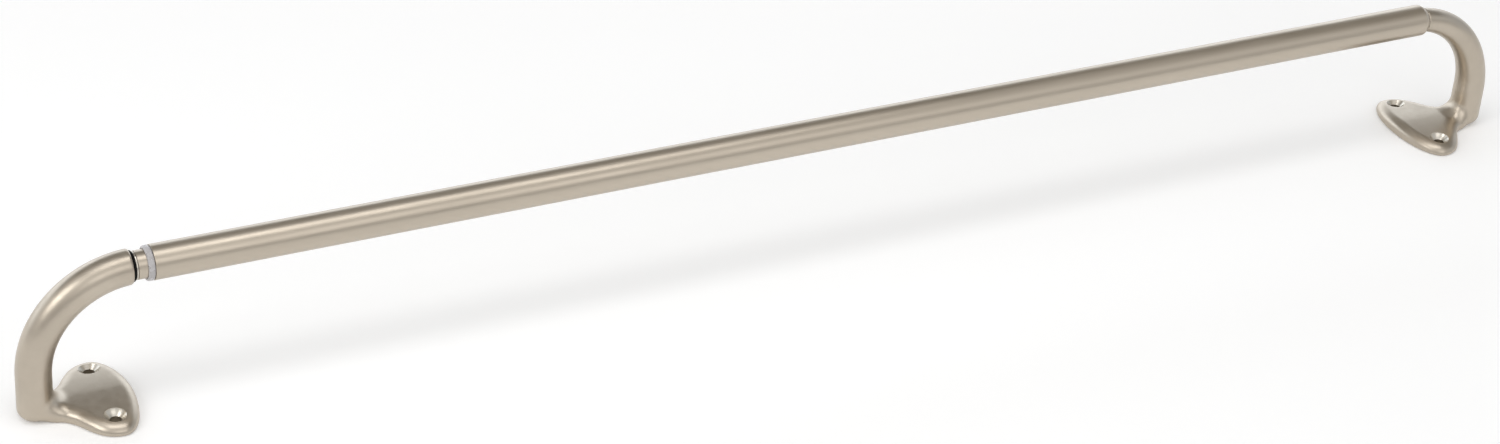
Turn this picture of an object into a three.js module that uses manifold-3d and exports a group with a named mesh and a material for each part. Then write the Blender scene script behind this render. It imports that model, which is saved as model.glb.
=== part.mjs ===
// A telescoping curtain rod whose two ends return to the wall. Each end bracket is one casting: an elbow,
// a leg and a kidney-shaped wall flange with two countersunk screw holes. A thin tube slides in a thicker
// one, and each bracket screws on to its end of the rod with a threaded stud.
//
// Millimetres. The wall is the plane Z = 0, +Z points away from it, +X runs along the rod from the end
// with the thin tube to the end with the thick one. The origin is on the wall, midway between the legs.
import * as THREE from "three";
import { mergeVertices } from "three/addons/utils/BufferGeometryUtils.js";
import Module from "manifold-3d";

const wasm = await Module();
wasm.setup();

// ---- Driving dimensions ----
const LEG_SPACING = 770; // between the two leg axes, with the rod almost closed
const AXIS_HEIGHT = 67.2; // the rod's axis above the wall
const OUTER_RADIUS = 8; // the thick tube
const INNER_RADIUS = 6.5; // the thin tube
const WALL = 0.7; // both tubes' wall thickness
const GAP = 0.3; // between pieces that touch

const LEG_RADIUS = 8;
const LEG_BASE_ROUND = 5; // rounding of the leg's lower edge
const LEFT_BEND = 45.5; // centreline radius of the left elbow
const LEFT_RUN_OUT = 1.2; // its arc would end this far past its end face
const RIGHT_BEND = 47; // centreline radius of the right elbow
const RIGHT_START = THREE.MathUtils.degToRad(7.2); // the right elbow already slopes by this at its seam
const RIGHT_RUN_IN = 2; // its arc starts this far inside the seam, on the rod's axis
const RIGHT_SEAM_RADIUS = 6; // the right elbow swells from this to the leg's radius
const SIDES = 32; // facets round a tube
const CAST_SIDES = 24; // facets round an elbow and a leg

// ---- Where the pieces meet along the rod ----
const LEFT_LEG_X = -LEG_SPACING / 2;
const RIGHT_LEG_X = LEG_SPACING / 2;
const LEFT_FACE_X = LEFT_LEG_X + LEFT_BEND - LEFT_RUN_OUT; // the left elbow's end face
const SPACER = 0.6; // the black washer's thickness
const SPACER_RADIUS = 7;
const RIM = 0.8; // the left plug's flange
const PLUG_X = LEFT_FACE_X + GAP + SPACER + GAP;
const INNER_TUBE_X = PLUG_X + RIM + GAP;
const COLLAR_X = LEFT_FACE_X + 6.3; // the collar's outer face
const COLLAR = 2.8; // its width in front of the thick tube
const COLLAR_RADIUS = OUTER_RADIUS - 0.1;
const LINER = 14; // how far the ring reaches into the tube
const SLIDE_FIT = 0.15; // clearance of the ring round the thin tube
const LINER_FIT = 0.2; // clearance of pieces inside the thick tube
const OUTER_TUBE_X = COLLAR_X + COLLAR + GAP;
const SEAM_X = RIGHT_LEG_X - RIGHT_BEND * (1 - Math.sin(RIGHT_START)) + RIGHT_RUN_IN;
const SEAM = 0.5; // the groove between the thick tube and the right elbow
const OUTER_TUBE_LENGTH = SEAM_X - SEAM - OUTER_TUBE_X;
const INNER_TUBE_LENGTH = 640;
const ROLL = 2.6; // length of the thick tube's rolled end
const ROLLED_LIP = RIGHT_SEAM_RADIUS + 0.2;

// ---- Flange outline, from the leg's axis towards the middle of the rod ----
const HOLE_IN = 30; // each hole's distance from the leg's axis, along the rod
const HOLE_OUT = 19.5; // and from the rod's plane
const LOBE_IN = 31.6; // each lobe's centre
const LOBE_OUT = 15;
const LOBE_RADIUS = 13.8;
const REACH = 43.9; // the flange's far edge
const FLANGE = 5.4; // its thickness
const FLANGE_ROUND = 3.2;
const WAIST_FILLET = 14; // between the leg and each lobe
const NECK_RISE = 17; // how far the web climbs the leg
const NECK_REACH = 24;
const NECK_HALF_WIDTH = 5.5;
const NECK_SINK = 2; // how far its top end sits inside the leg
const SCREW_RADIUS = 2.6;
const HEAD_RADIUS = 5; // the countersink's mouth
const CUT_CLEAR = 1; // how far a cutter runs past the face it cuts

// ---- Fixings ----
const STUD_RADIUS = 2.5;
const STUD_HOLE = STUD_RADIUS + GAP;
const LEFT_STUD_IN = 10; // how deep the stud sits in the left elbow
const RIGHT_STUD_IN = 6.5; // and in the right one, which bends away sooner
const STUD_OUT = 13; // how far each stud reaches into its plug
const PLUG_LENGTH = 18;
const NOSE_LENGTH = 4; // of the right plug, inside the rolled end
const BUSH_SPIGOT = 10;
const BUSH_HEAD = 8;
const BUSH_BORE = 3;

// ---- Solids ----

/** A three.js geometry as a manifold-3d solid. */
function solid(geometry) {
  const bare = new THREE.BufferGeometry();
  const source = geometry.index ? geometry.toNonIndexed() : geometry;
  bare.setAttribute("position", source.getAttribute("position"));
  const merged = mergeVertices(bare, 1e-4);
  return new wasm.Manifold(
    new wasm.Mesh({
      numProp: 3,
      vertProperties: merged.attributes.position.array,
      triVerts: new Uint32Array(merged.index.array),
    }),
  );
}

/** A manifold-3d solid as a three.js geometry. */
function geometryOf(made) {
  const mesh = made.getMesh();
  const geometry = new THREE.BufferGeometry();
  geometry.setAttribute("position", new THREE.BufferAttribute(mesh.vertProperties, 3));
  geometry.setIndex(new THREE.BufferAttribute(mesh.triVerts, 1));
  const facets = geometry.toNonIndexed();
  facets.computeVertexNormals();
  return facets;
}

/** A solid of revolution about the rod's axis. The profile holds [distance along X, radius] pairs, and
 *  runs towards +X on the outside. */
function turned(startX, profile, sides = SIDES) {
  const points = profile.map(([along, radius]) => new THREE.Vector2(radius, along));
  const geometry = new THREE.LatheGeometry(points, sides);
  geometry.rotateZ(-Math.PI / 2); // its axis from +Y to +X
  geometry.translate(startX, 0, AXIS_HEIGHT);
  return geometry;
}

/** A hollow round piece as a closed profile between two radii, with its mouth at 0. */
function sleeve(startX, length, inside, outside) {
  return turned(startX, [[0, inside], [0, outside], [length, outside], [length, inside], [0, inside]]);
}

/** The points of an arc in a profile, about the centre [along, radius]. */
function quarterRound(along, radius, size, fromAngle, toAngle, steps = 4) {
  const points = [];
  for (let i = 0; i <= steps; i += 1) {
    const angle = fromAngle + ((toAngle - fromAngle) * i) / steps;
    points.push([along + size * Math.cos(angle), radius + size * Math.sin(angle)]);
  }
  return points;
}

/** A box from its lowest and highest corners. */
function block(low, high) {
  const size = high.map((value, i) => value - low[i]);
  const geometry = new THREE.BoxGeometry(...size);
  geometry.translate(...high.map((value, i) => (value + low[i]) / 2));
  return geometry;
}

// ---- Brackets ----

/** An elbow's centreline after a length along the arc and then down: its place and its outward side. */
function elbowPath(side, legX, bend, startAngle, length) {
  const arc = bend * (Math.PI / 2 - startAngle);
  const angle = Math.min(startAngle + length / bend, Math.PI / 2);
  const legTop = AXIS_HEIGHT - bend * Math.cos(startAngle);
  const x = legX - side * bend * (1 - Math.sin(angle));
  const z = legTop + bend * Math.cos(angle) - Math.max(length - arc, 0);
  return { x, z, acrossX: side * Math.sin(angle), acrossZ: Math.cos(angle) };
}

/** The round bar of a bracket: a lathe turning whose axis is then bent along the elbow and the leg. */
function elbowAndLeg(side, legX, bend, startAngle, startRadius) {
  const arc = bend * (Math.PI / 2 - startAngle);
  const length = arc + AXIS_HEIGHT - bend * Math.cos(startAngle);
  const arcSteps = 15;
  const points = [new THREE.Vector2(0, 0)];
  for (let i = 0; i <= arcSteps; i += 1) {
    const share = i / arcSteps;
    points.push(new THREE.Vector2(startRadius + (LEG_RADIUS - startRadius) * share, arc * share));
  }
  const base = quarterRound(length - LEG_BASE_ROUND, LEG_RADIUS - LEG_BASE_ROUND, LEG_BASE_ROUND,
    Math.PI / 2, 0);
  base.forEach(([along, radius]) => points.push(new THREE.Vector2(radius, along)));
  points.push(new THREE.Vector2(0, length));
  const bar = new THREE.LatheGeometry(points, CAST_SIDES);
  const position = bar.getAttribute("position");
  for (let i = 0; i < position.count; i += 1) {
    const at = elbowPath(side, legX, bend, startAngle, position.getY(i));
    const across = position.getX(i);
    position.setXYZ(i, at.x + at.acrossX * across, side * position.getZ(i), at.z + at.acrossZ * across);
  }
  return bar;
}

/** The flange's outline: the leg's round end, two waists, two lobes and the long far edge. */
function flangeOutline() {
  const waistOut = LEG_RADIUS + WAIST_FILLET;
  const apart = LOBE_RADIUS + WAIST_FILLET;
  const waistIn = LOBE_IN - Math.sqrt(apart ** 2 - (waistOut - LOBE_OUT) ** 2);
  const meet = Math.atan2(waistOut - LOBE_OUT, waistIn - LOBE_IN); // from a lobe's centre to its waist's
  const outline = new THREE.Shape();
  outline.absarc(0, 0, LEG_RADIUS, Math.PI / 2, (3 * Math.PI) / 2, false);
  outline.absarc(waistIn, -waistOut, WAIST_FILLET, Math.PI / 2, -meet - Math.PI, true);
  outline.absarc(LOBE_IN, -LOBE_OUT, LOBE_RADIUS, -meet, (3 * Math.PI) / 2, false);
  outline.absellipse(LOBE_IN, 0, REACH - LOBE_IN, LOBE_OUT + LOBE_RADIUS, -Math.PI / 2, Math.PI / 2, false);
  outline.absarc(LOBE_IN, LOBE_OUT, LOBE_RADIUS, Math.PI / 2, meet, false);
  outline.absarc(waistIn, waistOut, WAIST_FILLET, meet - Math.PI, -Math.PI / 2, true);
  return outline;
}

/** The flange's plate, flat on the wall, its upper rim rounded. */
function flangePlate() {
  const geometry = new THREE.ExtrudeGeometry(flangeOutline(), {
    depth: FLANGE,
    curveSegments: 9,
    bevelThickness: FLANGE_ROUND,
    bevelSize: FLANGE_ROUND,
    bevelOffset: -FLANGE_ROUND,
    bevelSegments: 3,
  });
  geometry.translate(0, 0, -FLANGE_ROUND);
  const belowWall = block([-REACH, -REACH, -3 * FLANGE_ROUND], [2 * REACH, REACH, 0]);
  return solid(geometry).subtract(solid(belowWall));
}

/** The web that joins the leg to the plate, hollowed by one big fillet. */
function neckWeb() {
  const profile = new THREE.Shape();
  profile.moveTo(0, 0);
  profile.lineTo(NECK_REACH, 0);
  profile.lineTo(NECK_REACH, FLANGE / 2);
  profile.quadraticCurveTo(LEG_RADIUS, FLANGE, LEG_RADIUS - NECK_SINK, NECK_RISE);
  profile.lineTo(0, NECK_RISE);
  const geometry = new THREE.ExtrudeGeometry(profile, {
    depth: 2 * NECK_HALF_WIDTH,
    curveSegments: 8,
    bevelEnabled: false,
  });
  geometry.translate(0, 0, -NECK_HALF_WIDTH);
  geometry.rotateX(Math.PI / 2); // the profile's height from +Y to +Z
  return solid(geometry);
}

/** The cutter of one countersunk screw hole. */
function screwHole(inward, outward) {
  const mouth = FLANGE + CUT_CLEAR;
  const points = [[0, -CUT_CLEAR], [SCREW_RADIUS, -CUT_CLEAR],
    [SCREW_RADIUS, FLANGE - HEAD_RADIUS + SCREW_RADIUS], [HEAD_RADIUS, FLANGE], [HEAD_RADIUS, mouth],
    [0, mouth]];
  const geometry = new THREE.LatheGeometry(points.map(([r, h]) => new THREE.Vector2(r, h)), CAST_SIDES);
  geometry.rotateX(Math.PI / 2);
  geometry.translate(inward, outward, 0);
  return solid(geometry);
}

/** The flange with its web and its two holes, for a leg at X = 0 with the rod on the +X side. */
function flange() {
  let made = flangePlate().add(neckWeb());
  for (const outward of [-HOLE_OUT, HOLE_OUT]) {
    made = made.subtract(screwHole(HOLE_IN, outward));
  }
  return made;
}

/** The flange's solid, turned round for the right end, at its leg. */
function placedFlange(side, legX) {
  const geometry = geometryOf(flange());
  if (side > 0) geometry.rotateZ(Math.PI);
  geometry.translate(legX, 0, 0);
  return solid(geometry);
}

/** A solid without what lies between two distances along the rod, near its axis. */
function trimmed(made, fromX, toX) {
  const half = 2 * LEG_RADIUS;
  return made.subtract(solid(block([fromX, -half, AXIS_HEIGHT - half], [toX, half, AXIS_HEIGHT + half])));
}

/** The blind hole that holds a stud. */
function studSocket(fromX, toX) {
  return solid(turned(fromX, [[0, 0], [0, STUD_HOLE], [toX - fromX, STUD_HOLE], [toX - fromX, 0]]));
}

function leftBracket() {
  const bar = solid(elbowAndLeg(-1, LEFT_LEG_X, LEFT_BEND, 0, LEG_RADIUS));
  const elbow = trimmed(bar, LEFT_FACE_X, LEFT_FACE_X + 2 * LEFT_RUN_OUT);
  const socket = studSocket(LEFT_FACE_X - LEFT_STUD_IN - GAP, LEFT_FACE_X + 2 * LEFT_RUN_OUT);
  return geometryOf(elbow.add(placedFlange(-1, LEFT_LEG_X)).subtract(socket));
}

function rightBracket() {
  const bar = solid(elbowAndLeg(1, RIGHT_LEG_X, RIGHT_BEND, RIGHT_START, RIGHT_SEAM_RADIUS));
  const elbow = trimmed(bar, SEAM_X - 2 * RIGHT_RUN_IN - LEG_RADIUS, SEAM_X);
  const socket = studSocket(SEAM_X - STUD_OUT, SEAM_X + RIGHT_STUD_IN + GAP);
  return geometryOf(elbow.subtract(socket).add(placedFlange(1, RIGHT_LEG_X)));
}

// ---- Rod ----

/** A threaded stud, plain here, with bevelled ends. */
function stud(startX, length) {
  const bevel = 0.6;
  return turned(startX, [[0, 0], [0, STUD_RADIUS - bevel], [bevel, STUD_RADIUS],
    [length - bevel, STUD_RADIUS], [length, STUD_RADIUS - bevel], [length, 0]]);
}

/** The left plug: a bored insert in the thin tube, with a rim over the tube's end. */
function leftPlug() {
  const body = INNER_RADIUS - WALL - GAP;
  const bevel = 0.25;
  return turned(PLUG_X, [[0, STUD_HOLE], [0, INNER_RADIUS - bevel], [bevel, INNER_RADIUS],
    [RIM, INNER_RADIUS], [RIM, body], [PLUG_LENGTH, body], [PLUG_LENGTH, STUD_HOLE], [0, STUD_HOLE]]);
}

function innerTube() {
  return sleeve(INNER_TUBE_X, INNER_TUBE_LENGTH, INNER_RADIUS - WALL, INNER_RADIUS);
}

/** The bush on the thin tube's hidden end: a spigot in the tube and a head that runs in the thick tube. */
function guideBush() {
  const startX = INNER_TUBE_X + INNER_TUBE_LENGTH - BUSH_SPIGOT;
  const spigot = INNER_RADIUS - WALL - GAP;
  const head = OUTER_RADIUS - WALL - LINER_FIT;
  const bevel = 1;
  const shoulder = BUSH_SPIGOT + GAP;
  const end = shoulder + BUSH_HEAD;
  return turned(startX, [[0, BUSH_BORE], [0, spigot], [shoulder, spigot], [shoulder, head],
    [end - bevel, head], [end, head - bevel], [end, BUSH_BORE], [0, BUSH_BORE]]);
}

/** The clear ring in the thick tube's mouth: a collar almost as wide as the tube, and a liner inside it. */
function mouthRing() {
  const bore = INNER_RADIUS + SLIDE_FIT;
  const liner = OUTER_RADIUS - WALL - LINER_FIT;
  const round = 1;
  const shoulder = quarterRound(round, COLLAR_RADIUS - round, round, Math.PI, Math.PI / 2, 3);
  return turned(COLLAR_X, [[0, bore], ...shoulder, [COLLAR, COLLAR_RADIUS], [COLLAR, liner],
    [COLLAR + LINER, liner], [COLLAR + LINER, bore], [0, bore]]);
}

/** The thick tube. Its far end is rolled in to meet the right elbow. */
function outerTube() {
  const inside = OUTER_RADIUS - WALL;
  const end = OUTER_TUBE_LENGTH;
  const bevel = 0.15;
  const drop = OUTER_RADIUS - ROLLED_LIP;
  const rolled = [];
  for (const share of [0, 0.3, 0.6, 0.85, 1]) {
    rolled.push([end - ROLL + ROLL * Math.sin((share * Math.PI) / 2), OUTER_RADIUS - drop * share ** 2]);
  }
  return turned(OUTER_TUBE_X, [[0, inside], [0, OUTER_RADIUS - bevel], [bevel, OUTER_RADIUS], ...rolled,
    [end, ROLLED_LIP - WALL], [end - ROLL, inside], [0, inside]]);
}

/** The right plug: a bored insert behind the rolled end, with a nose that fills the mouth. */
function rightPlug() {
  const body = OUTER_RADIUS - WALL - GAP;
  const nose = ROLLED_LIP - WALL - GAP;
  const startX = SEAM_X - SEAM - PLUG_LENGTH;
  const shoulder = PLUG_LENGTH - NOSE_LENGTH;
  return turned(startX, [[0, STUD_HOLE], [0, body], [shoulder, body], [shoulder, nose],
    [PLUG_LENGTH, nose], [PLUG_LENGTH, STUD_HOLE], [0, STUD_HOLE]]);
}

// ---- Assembly ----

const nickel = { color: 0xb5ab9c, roughness: 0.42, metalness: 1 };
const steel = { color: 0xa8a8a6, roughness: 0.35, metalness: 1 };
const clearPlastic = { color: 0xd9d6dc, roughness: 0.35, metalness: 0, transparent: true, opacity: 0.6 };
const blackPlastic = { color: 0x0c0c0c, roughness: 0.6, metalness: 0 };
const nylon = { color: 0xe6e4dc, roughness: 0.5, metalness: 0 };

const parts = {
  left_bracket: [leftBracket(), nickel],
  left_stud: [stud(LEFT_FACE_X - LEFT_STUD_IN, LEFT_STUD_IN + STUD_OUT), steel],
  left_spacer: [sleeve(LEFT_FACE_X + GAP, SPACER, STUD_HOLE, SPACER_RADIUS), blackPlastic],
  left_plug: [leftPlug(), steel],
  inner_tube: [innerTube(), nickel],
  guide_bush: [guideBush(), nylon],
  mouth_ring: [mouthRing(), clearPlastic],
  outer_tube: [outerTube(), nickel],
  right_plug: [rightPlug(), steel],
  right_stud: [stud(SEAM_X - STUD_OUT, STUD_OUT + RIGHT_STUD_IN), steel],
  right_bracket: [rightBracket(), nickel],
};

const curtainRod = new THREE.Group();
for (const [name, [geometry, look]] of Object.entries(parts)) {
  const mesh = new THREE.Mesh(geometry, new THREE.MeshStandardMaterial(look));
  mesh.name = name;
  curtainRod.add(mesh);
}

export default curtainRod;
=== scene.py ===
"""A satin-nickel telescoping curtain rod with two cast wall brackets, finished round its CAD frame.

Metres, in the CAD's own frame: +X runs along the rod, +Z away from the wall plane Z = 0.
"""

import math

import bmesh
import bpy
import numpy as np
from mathutils import Matrix, Vector


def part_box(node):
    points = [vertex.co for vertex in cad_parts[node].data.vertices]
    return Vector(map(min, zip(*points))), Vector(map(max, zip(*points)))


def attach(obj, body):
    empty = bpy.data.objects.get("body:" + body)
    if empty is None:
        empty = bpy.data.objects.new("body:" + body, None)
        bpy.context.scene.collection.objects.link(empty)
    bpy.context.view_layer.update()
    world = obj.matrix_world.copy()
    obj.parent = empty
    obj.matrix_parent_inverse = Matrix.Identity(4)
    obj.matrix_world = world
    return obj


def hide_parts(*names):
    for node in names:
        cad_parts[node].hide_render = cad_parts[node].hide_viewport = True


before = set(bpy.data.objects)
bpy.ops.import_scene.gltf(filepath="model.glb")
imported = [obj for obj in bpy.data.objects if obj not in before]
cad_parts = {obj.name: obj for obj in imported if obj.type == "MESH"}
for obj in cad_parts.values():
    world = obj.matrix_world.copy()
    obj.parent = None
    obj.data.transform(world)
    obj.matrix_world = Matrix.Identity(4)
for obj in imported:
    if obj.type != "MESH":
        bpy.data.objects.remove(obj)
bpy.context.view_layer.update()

# ---- Places and sizes that the frame gives ----
MM = 0.001
OUTER_LOW, OUTER_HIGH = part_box("outer_tube")
INNER_LOW, INNER_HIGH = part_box("inner_tube")
RING_LOW, RING_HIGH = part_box("mouth_ring")
LEFT_END_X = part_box("left_bracket")[0].x
RIGHT_END_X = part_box("right_bracket")[1].x
AXIS_Z = (OUTER_LOW.z + OUTER_HIGH.z) / 2
OUTER_RADIUS = (OUTER_HIGH.y - OUTER_LOW.y) / 2
INNER_RADIUS = (INNER_HIGH.y - INNER_LOW.y) / 2

# ---- Sizes of the castings, in millimetres ----
LEG_RADIUS = 8.0
LEG_BASE_ROUND = 5.0
HOLE_IN = 30.0  # each screw hole's distance from the leg's axis, towards the rod's middle
HOLE_OUT = 19.5  # and its distance from the rod's plane
LOBE_IN = 31.6  # each lobe's centre
LOBE_OUT = 15.0
LOBE_RADIUS = 13.8
HALF_WIDTH = LOBE_OUT + LOBE_RADIUS
REACH = 43.9  # the flange's far edge
EDGE_HEIGHT = 4.5  # the flange's height where its rounded shoulder ends
RIDGE_HEIGHT = 6.8  # and along the middle
RIDGE_POWER = 1.6  # its slopes steepen away from the middle by this
SHOULDER = 6.0  # the width of the rounding
SHOULDER_RISE = 3.8  # and its height
NECK_FROM = 6.0  # the neck's two ends
NECK_TO = 24.0
NECK_HALF_WIDTH = 7.0
NECK_CORNER = 2.0  # the rounding of its outline
WAIST = 18.0  # fillet between the neck and each lobe
FOOT_FILLET = 7.5  # between the leg and the flange
FLOOR_EDGE = 0.9  # the rounding of the edge on the wall
SCREW_RADIUS = 2.6
HEAD_RADIUS = 5.0
CUT_CLEAR = 1.0  # how far a cutter starts before the face it cuts
VOXEL = 0.7  # the grid that the castings are worked out on

# Each end's elbow: side, bend radius, the slope at its seam, how far its arc runs past its end face, the
# radius and the edge rounding there, and the depth of its stud's socket.
LEFT = dict(side=-1, bend=45.5, start=0.0, run=1.2, seam_radius=LEG_RADIUS, end_round=1.0, socket=10.3)
RIGHT = dict(side=1, bend=47.0, start=math.radians(7.2), run=2.0, seam_radius=6.0, end_round=0.4, socket=6.8)

# ---- Sizes of the rod, in metres ----
TUBE_WALL = 0.7 * MM
ROLL = 2.6 * MM  # the length of the thick tube's rolled end
LIP_STEP = 0.2 * MM  # how far its lip stands proud of the elbow
SLIDE_FIT = 0.15 * MM  # between the ring and the thin tube
LINER_FIT = 0.2 * MM  # between the ring and the thick tube
MOUTH_GAP = 0.3 * MM  # between the collar and the tube's mouth
COLLAR_STEP = 0.1 * MM  # how far the collar's side lies below the tube's
STUD_HOLE = 2.8 * MM


# ---- Camera ----
def add_camera():
    """Looks down along the rod from its near left end, as a long lens would."""
    yaw, pitch, roll = (math.radians(a) for a in (28.812, 31.138, -4.501))
    place = Vector((-0.7038, -1.2097, 0.8600))
    ahead = Vector((math.sin(yaw) * math.cos(pitch), math.cos(yaw) * math.cos(pitch), -math.sin(pitch)))
    level = Vector((math.cos(yaw), -math.sin(yaw), 0))
    below = ahead.cross(level)
    right = level * math.cos(roll) + below * math.sin(roll)
    down = below * math.cos(roll) - level * math.sin(roll)
    data = bpy.data.cameras.new("camera")
    data.sensor_width = 36
    data.lens = 81.74
    camera = bpy.data.objects.new("camera", data)
    camera.matrix_world = Matrix.Translation(place) @ Matrix((right, -down, -ahead)).transposed().to_4x4()
    bpy.context.scene.collection.objects.link(camera)
    bpy.context.scene.camera = camera


# ---- Meshes ----
def mesh_object(name, vertices, faces, sharp=30):
    """A smooth-shaded mesh whose edges over the sharp angle stay crisp."""
    mesh = bpy.data.meshes.new(name)
    mesh.from_pydata(vertices, [], faces)
    mesh.update()
    mesh.shade_smooth()
    mesh.set_sharp_from_angle(angle=math.radians(sharp))
    made = bpy.data.objects.new(name, mesh)
    bpy.context.scene.collection.objects.link(made)
    return made


def finish_piece(piece, body, slot, material, *nodes):
    """Gives a piece its material, and lets it ride on a body in place of CAD nodes."""
    piece.data.materials.clear()
    piece.data.materials.append(material)
    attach(piece, body)
    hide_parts(*nodes)
    return piece


def rounded(corners, steps=5):
    """A profile whose corners, given as (x, r, rounding), become arcs."""
    points = []
    count = len(corners)
    for i, (x, r, size) in enumerate(corners):
        here = Vector((x, r))
        if size <= 0:
            points.append(here)
            continue
        back = (Vector(corners[i - 1][:2]) - here).normalized()
        on = (Vector(corners[(i + 1) % count][:2]) - here).normalized()
        half = back.angle(on) / 2
        centre = here + (back + on).normalized() * (size / math.sin(half))
        start = here + back * (size / math.tan(half)) - centre
        end = here + on * (size / math.tan(half)) - centre
        for step in range(steps + 1):
            share = step / steps
            points.append(centre + start.normalized().slerp(end.normalized(), share) * size)
    return [(p.x, p.y) for p in points]


def turned(name, profile, segments=96, closed=True):
    """A solid turned about the rod's axis by an outline that runs towards +X on the outside.

    A closed outline makes a ring, and an open one starts and ends on the axis.
    """
    vertices, rings = [], []
    for x, r in profile:
        if r < 1e-9:
            rings.append([len(vertices)] * segments)
            vertices.append((x, 0, AXIS_Z))
            continue
        rings.append(list(range(len(vertices), len(vertices) + segments)))
        for k in range(segments):
            turn = 2 * math.pi * k / segments
            vertices.append((x, r * math.sin(turn), AXIS_Z + r * math.cos(turn)))
    faces = []
    for i in range(len(rings) if closed else len(rings) - 1):
        a, b = rings[i], rings[(i + 1) % len(rings)]
        for k in range(segments):
            face = (a[k], b[k], b[(k + 1) % segments], a[(k + 1) % segments])
            face = tuple(dict.fromkeys(face))
            if len(face) > 2:
                faces.append(face)
    return mesh_object(name, vertices, faces)


# ---- Fields for the castings: negative inside, millimetres ----
# u runs from the leg's axis towards the rod's middle, v across the rod, w away from the wall.
def round_join(a, b, size):
    """The union of two fields with a fillet of that radius."""
    inside = np.hypot(np.maximum(size - a, 0), np.maximum(size - b, 0))
    return np.maximum(size, np.minimum(a, b)) - inside


def round_cut(a, b, size):
    """The intersection of two fields with a rounded edge of that radius."""
    outside = np.hypot(np.maximum(size + a, 0), np.maximum(size + b, 0))
    return np.minimum(-size, np.maximum(a, b)) + outside


def ellipse_field(u, v, half_u, half_v):
    """About the distance to an ellipse round the origin."""
    tiny = 1e-9
    scaled = np.hypot(u / half_u, v / half_v) + tiny
    slope = np.hypot(u / half_u**2, v / half_v**2) + tiny
    return scaled * (scaled - 1) / slope


def leg_top(end):
    """The height at which the elbow's arc ends and the straight leg begins."""
    return AXIS_Z / MM - end["bend"] * math.cos(end["start"])


def face_reach(end):
    """How far the elbow's end face lies from the leg's axis."""
    return end["bend"] * (1 - math.sin(end["start"])) - end["run"]


def elbow_field(u, v, w, end):
    """The bent bar: its radius swells evenly from the seam to the leg."""
    bend, start, top = end["bend"], end["start"], leg_top(end)
    past_start = 0.1
    angle = np.clip(np.arctan2(bend - u, w - top), start - past_start, math.pi / 2)
    share = np.clip((angle - start) / (math.pi / 2 - start), 0, 1)
    radius = end["seam_radius"] + (LEG_RADIUS - end["seam_radius"]) * share
    across = np.hypot(u - bend * (1 - np.sin(angle)), w - top - bend * np.cos(angle))
    return np.hypot(across, v) - radius


def leg_field(u, v, w, end):
    """The straight leg, from its rounded foot on the wall up to the elbow's arc."""
    side = np.hypot(u, v) - LEG_RADIUS
    return np.maximum(round_cut(side, -w, LEG_BASE_ROUND), w - leg_top(end))


def outline_field(u, v):
    """The flange's outline: two lobes on the leg's side, half an ellipse on the other, and the neck."""
    far = ellipse_field(u - LOBE_IN, v, REACH - LOBE_IN, HALF_WIDTH)
    lobes = np.hypot(u - LOBE_IN, np.maximum(np.abs(v) - LOBE_OUT, 0)) - LOBE_RADIUS
    beside_neck = np.maximum(np.abs(v) - NECK_HALF_WIDTH + NECK_CORNER, 0)
    neck = np.hypot(u - np.clip(u, NECK_FROM + NECK_CORNER, NECK_TO), beside_neck) - NECK_CORNER
    return round_join(np.where(u > LOBE_IN, far, lobes), neck, WAIST)


def flange_top(v):
    """The height of the flange inside its shoulder: a low ridge runs out from the neck."""
    outward = np.minimum(np.abs(v) / HALF_WIDTH, 1)
    return EDGE_HEIGHT + (RIDGE_HEIGHT - EDGE_HEIGHT) * (1 - outward**RIDGE_POWER)


def flange_field(u, v, w):
    """The flange, whose rim rolls over as a quarter of an ellipse."""
    inward = np.maximum(SHOULDER + outline_field(u, v), 0)
    upward = np.maximum(w - flange_top(v) + SHOULDER_RISE, 0)
    return ellipse_field(inward, upward, SHOULDER, SHOULDER_RISE)


def bracket_field(u, v, w, end):
    """The whole casting: the elbow cut at its end face, the leg and the flange, cut flat at the wall."""
    bar = round_cut(elbow_field(u, v, w, end), u - face_reach(end), end["end_round"])
    bar = np.minimum(bar, leg_field(u, v, w, end))
    return round_cut(round_join(bar, flange_field(u, v, w), FOOT_FILLET), -w, FLOOR_EDGE)


def surface_net(field, low, high, step):
    """The field's zero surface as points and quads: one point for each cell of the grid that it crosses."""
    axes = [np.arange(a, b + step, step) for a, b in zip(low, high)]
    inside = field(*np.meshgrid(*axes, indexing="ij")) < 0
    shape = np.array(inside.shape) - 1
    corners = [(i, j, k) for i in (0, 1) for j in (0, 1) for k in (0, 1)]
    count = sum(inside[i : i + shape[0], j : j + shape[1], k : k + shape[2]].astype(int)
                for i, j, k in corners)
    crossed = (count > 0) & (count < len(corners))
    number = -np.ones(shape, int)
    number[crossed] = np.arange(crossed.sum())
    points = np.argwhere(crossed) * step + np.array(low) + step / 2
    quads = [quads_across(inside, number, axis) for axis in range(3)]
    return onto_surface(field, points, step), np.concatenate(quads)


def quads_across(inside, number, axis):
    """A quad for each grid line along an axis that crosses the surface, between the four cells round it."""
    shape = number.shape
    one, two = [a for a in range(3) if a != axis]
    along = [slice(None)] * 3
    along[axis] = slice(0, -1)
    beyond = [slice(None)] * 3
    beyond[axis] = slice(1, None)
    edges = np.argwhere(inside[tuple(along)] != inside[tuple(beyond)])
    keep = (edges[:, one] > 0) & (edges[:, two] > 0)
    edges = edges[keep & (edges[:, one] < shape[one]) & (edges[:, two] < shape[two])]
    outward = inside[tuple(edges.T)]
    if axis == 1:  # its two other axes, taken in order, turn the other way about it
        outward = ~outward
    cells = []
    for back_one, back_two in ((1, 1), (0, 1), (0, 0), (1, 0)):
        cell = edges.copy()
        cell[:, one] -= back_one
        cell[:, two] -= back_two
        cells.append(number[tuple(cell.T)])
    quads = np.stack(cells, axis=1)
    quads[~outward] = quads[~outward][:, ::-1]
    return quads


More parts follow.
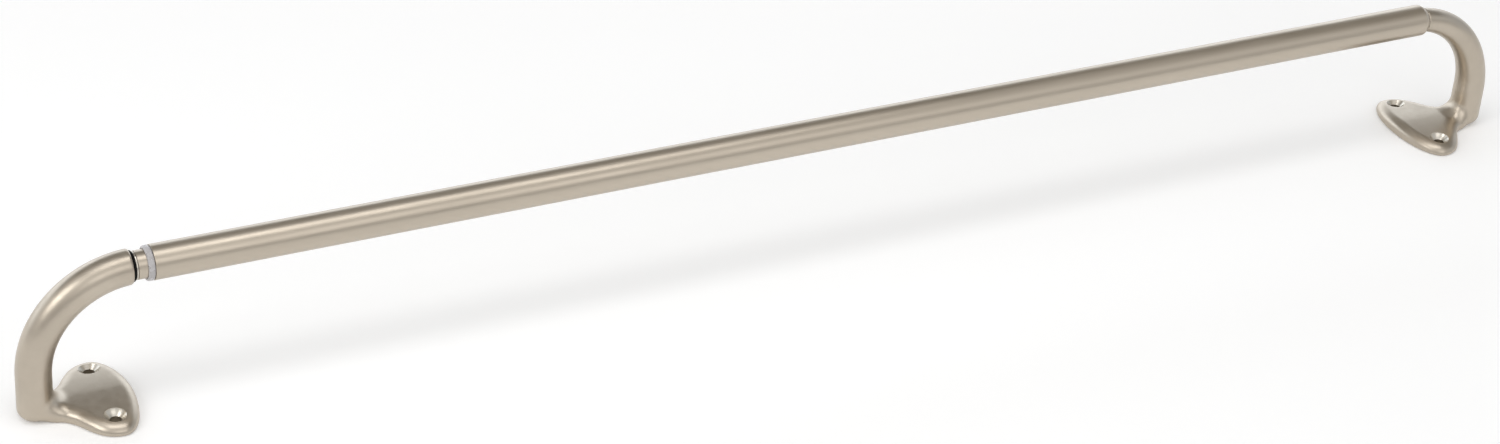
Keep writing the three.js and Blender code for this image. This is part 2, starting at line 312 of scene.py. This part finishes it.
def onto_surface(field, points, step, rounds=6):
    """Moves points along the field's slope to where it is zero."""
    small = step / 50
    least_slope = 0.05
    start = points.copy()
    for _ in range(rounds):
        value = field(*points.T)
        slope = np.stack([(field(*(points + d).T) - field(*(points - d).T)) / (2 * small)
                          for d in np.eye(3) * small], axis=1)
        length = np.maximum((slope**2).sum(1), least_slope)
        points = points - slope * (value / length)[:, None]
        points = np.clip(points, start - step, start + step)
    return points


def screw_hole(leg_x, side, outward, bore_shade, machined):
    """The cutter of one countersunk hole: a rough bore, coloured dark brown as painted shade, under a
    machined cone.
    """
    top = float(flange_top(HOLE_OUT))
    cone_start = top - HEAD_RADIUS + SCREW_RADIUS
    above = top + 2 * CUT_CLEAR  # it widens a little further on its way out of the metal
    mouth = HEAD_RADIUS + 0.4 * CUT_CLEAR
    profile = [(-CUT_CLEAR, 0), (-CUT_CLEAR, SCREW_RADIUS), (cone_start, SCREW_RADIUS), (top, HEAD_RADIUS),
               (above, mouth), (above, 0)]
    cutter = turned("cutter", [(height * MM, radius * MM) for height, radius in profile], 64, closed=False)
    upright = Matrix.Rotation(-math.pi / 2, 4, "Y") @ Matrix.Translation((0, 0, -AXIS_Z))
    cutter.data.transform(Matrix.Translation((leg_x - side * HOLE_IN * MM, outward * MM, 0)) @ upright)
    cutter.data.materials.append(bore_shade)
    cutter.data.materials.append(machined)
    # Faces below the cone take the bore's dark colour, which is painted shade; the cone takes the machined
    # metal.
    for face in cutter.data.polygons:
        face.material_index = int(face.center.z > cone_start * MM)
    return cutter


def stud_socket(face_x, side, depth, bore_shade):
    """The cutter of the blind hole that holds an elbow's stud."""
    start, end = sorted((face_x - side * CUT_CLEAR * MM, face_x + side * depth * MM))
    cutter = turned("cutter", [(start, 0), (start, STUD_HOLE), (end, STUD_HOLE), (end, 0)], 48, closed=False)
    # The socket's wall takes the bore's dark colour, which is painted shade.
    cutter.data.materials.append(bore_shade)
    return cutter


def cut_away(piece, cutter):
    """Cuts the cutter from the piece, whose new faces take the cutter's materials."""
    cut = piece.modifiers.new("cut", "BOOLEAN")
    cut.object = cutter
    cut.operation = "DIFFERENCE"
    cut.solver = "EXACT"
    cut.material_mode = "TRANSFER"
    graph = bpy.context.evaluated_depsgraph_get()
    mesh = bpy.data.meshes.new_from_object(piece.evaluated_get(graph))
    piece.modifiers.clear()
    piece.data = mesh
    bpy.data.objects.remove(cutter)


def cleaned(mesh, size=2e-6):
    """Closes up edges, faces and gaps too small to see."""
    work = bmesh.new()
    work.from_mesh(mesh)
    bmesh.ops.remove_doubles(work, verts=work.verts, dist=size)
    bmesh.ops.dissolve_degenerate(work, edges=work.edges, dist=size)
    bmesh.ops.holes_fill(work, edges=[edge for edge in work.edges if edge.is_boundary], sides=6)
    work.to_mesh(mesh)
    work.free()


def bracket(node, end, leg_x, satin, bore_shade, machined):
    """One end's casting, with its two countersunk holes and its stud's socket cut in it."""
    def field(u, v, w):
        return bracket_field(u, v, w, end)

    side = end["side"]
    margin = 2
    low = (-LEG_RADIUS - margin, -HALF_WIDTH - margin, -margin)
    high = (REACH + margin, HALF_WIDTH + margin, AXIS_Z / MM + LEG_RADIUS + margin)
    points, quads = surface_net(field, low, high, VOXEL)
    points[:, 0] *= -side
    if side > 0:
        quads = quads[:, ::-1]
    points = points * MM + np.array((leg_x, 0, 0))
    piece = mesh_object(node + "_casting", points.tolist(), quads.tolist(), sharp=50)
    piece.data.materials.append(satin)
    face_x = leg_x - side * face_reach(end) * MM
    cut_away(piece, stud_socket(face_x, side, end["socket"], bore_shade))
    for outward in (-HOLE_OUT, HOLE_OUT):
        cut_away(piece, screw_hole(leg_x, side, outward, bore_shade, machined))
    cleaned(piece.data)
    piece.data.set_sharp_from_angle(angle=math.radians(35))
    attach(piece, node)
    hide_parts(node)
    return piece


# ---- Materials ----
def shader(name):
    """A new node material: its tree, its surface shader and the object's own coordinates."""
    material = bpy.data.materials.new(name)
    material.use_nodes = True
    tree = material.node_tree
    surface = tree.nodes["Principled BSDF"]
    place = tree.nodes.new("ShaderNodeTexCoord").outputs["Object"]
    return material, tree, surface, place


def noise(tree, place, scale, detail=3.0, stretch=(1, 1, 1)):
    """A noise texture. A stretch below 1 draws it out along that axis."""
    mapping = tree.nodes.new("ShaderNodeMapping")
    mapping.inputs["Scale"].default_value = stretch
    tree.links.new(place, mapping.inputs["Vector"])
    texture = tree.nodes.new("ShaderNodeTexNoise")
    texture.inputs["Scale"].default_value = scale
    texture.inputs["Detail"].default_value = detail
    tree.links.new(mapping.outputs["Vector"], texture.inputs["Vector"])
    return texture.outputs["Fac"]


def ramp(tree, value, low, high, colours):
    """Colours across a value's range from low to high."""
    node = tree.nodes.new("ShaderNodeValToRGB")
    node.color_ramp.elements[0].position = low
    node.color_ramp.elements[1].position = high
    for element, colour in zip(node.color_ramp.elements, colours):
        element.color = (*colour, 1)
    tree.links.new(value, node.inputs["Fac"])
    return node.outputs["Color"]


def map_range(tree, value, start, end, to=(0.0, 1.0)):
    """A value carried from the range start to end over to another, and held at its ends."""
    node = tree.nodes.new("ShaderNodeMapRange")
    node.inputs["From Min"].default_value = start
    node.inputs["From Max"].default_value = end
    node.inputs["To Min"].default_value = to[0]
    node.inputs["To Max"].default_value = to[1]
    tree.links.new(value, node.inputs["Value"])
    return node.outputs["Result"]


def span(tree, value, low, high):
    """A noise's middle range as a number from low to high."""
    return map_range(tree, value, 0.3, 0.7, (low, high))


def bump(tree, value, height, normal=None):
    """A normal tilted by a relief of that height in metres."""
    node = tree.nodes.new("ShaderNodeBump")
    node.inputs["Strength"].default_value = 1
    node.inputs["Distance"].default_value = height
    tree.links.new(value, node.inputs["Height"])
    if normal is not None:
        tree.links.new(normal, node.inputs["Normal"])
    return node.outputs["Normal"]


def satin_metal(name, dark, light, rough, streak, grain_height, wave_height=0.0):
    """Plated satin metal: a fine grain, faint streaks along the rod and a slow drift of tone."""
    material, tree, surface, place = shader(name)
    surface.inputs["Metallic"].default_value = 1
    drift = noise(tree, place, 35, 4, (1 / streak, 1, 1))
    tree.links.new(ramp(tree, drift, 0.3, 0.7, (dark, light)), surface.inputs["Base Color"])
    patch = noise(tree, place, 400, 2, (1 / streak, 1, 1))
    tree.links.new(span(tree, patch, rough - 0.04, rough + 0.04), surface.inputs["Roughness"])
    normal = bump(tree, noise(tree, place, 2600, 2, (1 / streak, 1, 1)), grain_height)
    if wave_height:
        normal = bump(tree, noise(tree, place, 90, 1), wave_height, normal)
    tree.links.new(normal, surface.inputs["Normal"])
    return material


def frosted_plastic():
    """Clear plastic with a matt skin, which looks faintly lilac against the metal behind it."""
    material, tree, surface, place = shader("frosted_clear_plastic")
    surface.inputs["Transmission Weight"].default_value = 0.35
    surface.inputs["IOR"].default_value = 1.49
    haze = noise(tree, place, 300, 3)
    tree.links.new(span(tree, haze, 0.22, 0.34), surface.inputs["Roughness"])
    tree.links.new(ramp(tree, haze, 0.3, 0.7, ((0.60, 0.58, 0.58), (0.70, 0.68, 0.69))),
                   surface.inputs["Base Color"])
    tree.links.new(bump(tree, noise(tree, place, 1500, 2), 0.00001), surface.inputs["Normal"])
    return material


def moulded_plastic(name, dark, light, rough, gloss=0.5):
    """Matt plastic, faintly mottled."""
    material, tree, surface, place = shader(name)
    surface.inputs["Specular IOR Level"].default_value = gloss
    mottle = noise(tree, place, 250, 3)
    tree.links.new(ramp(tree, mottle, 0.3, 0.7, (dark, light)), surface.inputs["Base Color"])
    tree.links.new(span(tree, mottle, rough - 0.05, rough + 0.05), surface.inputs["Roughness"])
    tree.links.new(bump(tree, noise(tree, place, 1800, 2), 0.00002), surface.inputs["Normal"])
    return material


def white_paper():
    """The floor's white, with a little glow so that it stays near white."""
    material, tree, surface, place = shader("pale_floor")
    tone = noise(tree, place, 2, 2)
    tree.links.new(ramp(tree, tone, 0.3, 0.7, ((0.93, 0.93, 0.93), (0.95, 0.95, 0.95))),
                   surface.inputs["Base Color"])
    surface.inputs["Roughness"].default_value = 0.9
    surface.inputs["Emission Color"].default_value = (1, 1, 1, 1)
    surface.inputs["Emission Strength"].default_value = 0.13
    return material


# ---- Studio ----
WHITE, WARM, COOL = (1, 0.99, 0.98), (1, 0.92, 0.80), (0.93, 0.98, 1.04)
# The sweep's light by height, from the horizon at 0 to straight up at 1: (height, light, tint).
FRONT_LIGHT = ((0.0, 0.50, WHITE), (0.2, 0.55, WHITE), (0.5, 0.85, WHITE), (0.9, 0.75, WHITE))
BACK_LIGHT = ((0.0, 1.8, COOL), (0.43, 1.7, COOL), (0.52, 0.20, WARM), (0.75, 0.30, WARM),
              (0.95, 0.45, WHITE))
BEHIND = (0.48, 0.88, 0)  # the horizontal direction of the back light
TURN = 0.25  # the front light gives way to it over this much either side
DIM_FROM, DIM_TO = 0.65, 1.0  # the light fades as its direction's X grows over this range
DIMMEST = 0.3


def add_floor():
    """A wide floor just under the wall plane."""
    half = 8.0
    clear = 0.2 * MM
    floor = mesh_object("floor", [(-half, -half, 0), (half, -half, 0), (half, half, 0), (-half, half, 0)],
                        [(0, 1, 2, 3)])
    floor.location.z = -clear
    floor.data.materials.append(white_paper())


def add_softbox(name, place, aim, across, width, height, power):
    """A rectangular light whose width lies along the across direction."""
    data = bpy.data.lights.new(name, "AREA")
    data.shape = "RECTANGLE"
    data.size = width
    data.size_y = height
    data.energy = power
    backward = (Vector(place) - Vector(aim)).normalized()
    up = backward.cross(Vector(across)).normalized()
    axes = Matrix((up.cross(backward), up, backward)).transposed()
    light = bpy.data.objects.new(name, data)
    light.matrix_world = Matrix.Translation(place) @ axes.to_4x4()
    bpy.context.scene.collection.objects.link(light)


def light_by_height(tree, height, stops):
    """The light at each height, run smoothly between the stops."""
    node = tree.nodes.new("ShaderNodeValToRGB")
    for _ in stops[2:]:
        node.color_ramp.elements.new(1)
    for element, (position, light, tint) in zip(node.color_ramp.elements, stops):
        element.position = position
        element.color = (*(light * part for part in tint), 1)
    tree.links.new(height, node.inputs["Fac"])
    return node.outputs["Color"]


def add_sweep():
    """The light of a white sweep, by direction: bright low down at the back, dim above and to the right."""
    world = bpy.data.worlds.new("studio")
    world.use_nodes = True
    tree = world.node_tree
    background = tree.nodes["Background"]
    direction = tree.nodes.new("ShaderNodeTexCoord").outputs["Generated"]
    parts = tree.nodes.new("ShaderNodeSeparateXYZ")
    tree.links.new(direction, parts.inputs["Vector"])
    behind = tree.nodes.new("ShaderNodeVectorMath")
    behind.operation = "DOT_PRODUCT"
    behind.inputs[1].default_value = BEHIND
    tree.links.new(direction, behind.inputs[0])
    mix = tree.nodes.new("ShaderNodeMix")
    mix.data_type = "RGBA"
    front, back = [socket for socket in mix.inputs if socket.type == "RGBA"]
    tree.links.new(map_range(tree, behind.outputs["Value"], -TURN, TURN), mix.inputs["Factor"])
    tree.links.new(light_by_height(tree, parts.outputs["Z"], FRONT_LIGHT), front)
    tree.links.new(light_by_height(tree, parts.outputs["Z"], BACK_LIGHT), back)
    mixed = next(socket for socket in mix.outputs if socket.type == "RGBA")
    tree.links.new(mixed, background.inputs["Color"])
    dimmed = map_range(tree, parts.outputs["X"], DIM_FROM, DIM_TO, (1.0, DIMMEST))
    tree.links.new(dimmed, background.inputs["Strength"])
    bpy.context.scene.world = world


def add_studio():
    """The floor, the sweep's light and three softboxes."""
    add_floor()
    add_sweep()
    left_end = (LEFT_END_X, 0, AXIS_Z)
    add_softbox("overhead", (-0.15, -0.20, 1.6), (-0.15, 0, 0), (1, 0, 0), width=1.4, height=0.6, power=5)
    add_softbox("left", (-1.6, -0.35, 1.05), left_end, (0, 1, 0), width=0.8, height=0.8, power=5)
    add_softbox("front", (0.0, -2.2, 1.5), (0, 0, 0), (1, 0, 0), width=2.2, height=1.2, power=6)
    bpy.context.scene.view_settings.view_transform = "Standard"


# ---- The rod's pieces ----
def outer_tube(material):
    """The thick tube: a bevelled mouth, and a far end rolled in to the right elbow's seam."""
    x0, x1, r = OUTER_LOW.x, OUTER_HIGH.x, OUTER_RADIUS
    lip = RIGHT["seam_radius"] * MM + LIP_STEP
    lip_bend = 0.5 * MM
    roll = x1 - ROLL
    corners = [(x0, r - TUBE_WALL, 0.1 * MM), (x0, r, 0.25 * MM), (roll, r, 2.0 * MM),
               (x1 - lip_bend, lip + lip_bend, 0.7 * MM), (x1, lip, 0.1 * MM), (x1, lip - TUBE_WALL, 0),
               (roll, r - TUBE_WALL, 0)]
    piece = turned("outer_tube_shell", rounded(corners))
    finish_piece(piece, "outer_rod", "satin_nickel_tube", material, "outer_tube")


def inner_tube(material):
    """The thin tube, its ends broken."""
    x0, x1, r = INNER_LOW.x, INNER_HIGH.x, INNER_RADIUS
    corners = [(x0, r - TUBE_WALL, 0.1 * MM), (x0, r, 0.2 * MM), (x1, r, 0.2 * MM),
               (x1, r - TUBE_WALL, 0.1 * MM)]
    piece = turned("inner_tube_shell", rounded(corners))
    finish_piece(piece, "inner_rod", "satin_nickel_tube", material, "inner_tube")


def mouth_ring(material):
    """The frosted ring: its collar shows in front of the thick tube, and its liner is hidden inside."""
    x0, x1 = RING_LOW.x, RING_HIGH.x
    collar = OUTER_LOW.x - MOUTH_GAP
    radius = OUTER_RADIUS - COLLAR_STEP
    bore = INNER_RADIUS + SLIDE_FIT
    liner = OUTER_RADIUS - TUBE_WALL - LINER_FIT
    corners = [(x0, bore, 0.2 * MM), (x0, radius, 1.0 * MM), (collar, radius, 0.25 * MM), (collar, liner, 0),
               (x1, liner, 0.2 * MM), (x1, bore, 0.1 * MM)]
    piece = turned("mouth_ring_moulding", rounded(corners))
    finish_piece(piece, "outer_rod", "clear_plastic", material, "mouth_ring")


def build():
    """Makes the materials and every piece, and finishes the CAD nodes that stay."""
    dark_nickel, light_nickel = (0.465, 0.41, 0.338), (0.55, 0.488, 0.406)
    tube_nickel = satin_metal("satin_nickel_tube", dark_nickel, light_nickel, rough=0.34, streak=12,
                              grain_height=0.000016)
    cast_nickel = satin_metal("satin_nickel_casting", dark_nickel, light_nickel, rough=0.34, streak=1,
                              grain_height=0.00002, wave_height=0.00006)
    bright_nickel = satin_metal("bright_nickel", (0.60, 0.56, 0.49), (0.68, 0.64, 0.57), rough=0.30,
                                streak=1, grain_height=0.000005)
    zinc = satin_metal("bright_zinc_steel", (0.60, 0.60, 0.60), (0.70, 0.70, 0.69), rough=0.3, streak=4,
                       grain_height=0.000008)
    black = moulded_plastic("black_plastic", (0.004, 0.004, 0.004), (0.008, 0.008, 0.008), rough=0.6,
                            gloss=0.1)
    nylon = moulded_plastic("white_nylon", (0.78, 0.77, 0.73), (0.84, 0.83, 0.80), rough=0.45)
    # The bores' dark brown base colour is painted shade for the shadow inside the holes; their higher
    # roughness is real.
    bore_painted_shade = satin_metal("rough_bore_painted_shade", (0.20, 0.165, 0.12), (0.28, 0.235, 0.175), rough=0.5, streak=1,
                       grain_height=0.00001)
    bracket("left_bracket", LEFT, LEFT_END_X + LEG_RADIUS * MM, cast_nickel, bore_painted_shade, bright_nickel)
    bracket("right_bracket", RIGHT, RIGHT_END_X - LEG_RADIUS * MM, cast_nickel, bore_painted_shade, bright_nickel)
    outer_tube(tube_nickel)
    inner_tube(tube_nickel)
    mouth_ring(frosted_plastic())
    for node, material in (("left_spacer", black), ("left_plug", bright_nickel), ("right_plug", zinc),
                           ("left_stud", zinc), ("right_stud", zinc), ("guide_bush", nylon)):
        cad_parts[node].data.materials.clear()
        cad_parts[node].data.materials.append(material)


add_camera()
add_studio()
build()
